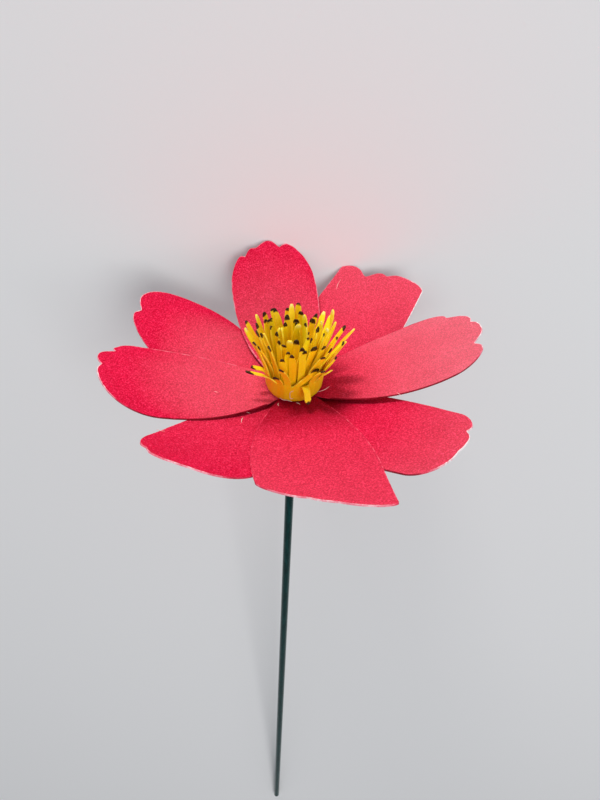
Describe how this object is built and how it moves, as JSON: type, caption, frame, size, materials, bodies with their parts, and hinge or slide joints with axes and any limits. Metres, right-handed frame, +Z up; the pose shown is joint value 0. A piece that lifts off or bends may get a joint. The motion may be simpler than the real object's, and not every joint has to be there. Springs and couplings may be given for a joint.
{
  "type": "paper flower",
  "caption": "Cut card flower with two layers of cupped petals, a rolled fringed paper centre and a straight coated wire stem, lying on its side.",
  "frame": {"origin": "centre of the bounding box, on the surface that the flower lies on", "axes": "+Z up from that surface, -Y from the flower head towards the cut end of the stem, +X to the right of the head seen from the stem end"},
  "size_m": [0.0774, 0.2573, 0.0748],
  "materials": {
    "petal_card": "matte card with pale cut edges",
    "fringe_paper": "matte paper, inked dark at the tips",
    "stem_coat": "glossy coating on steel wire"
  },
  "bodies": {
    "root": {"stem_wire": "stem_coat", "petals_upper": "petal_card", "petals_lower": "petal_card", "fringe_roll": "fringe_paper"}
  },
  "joints": []
}
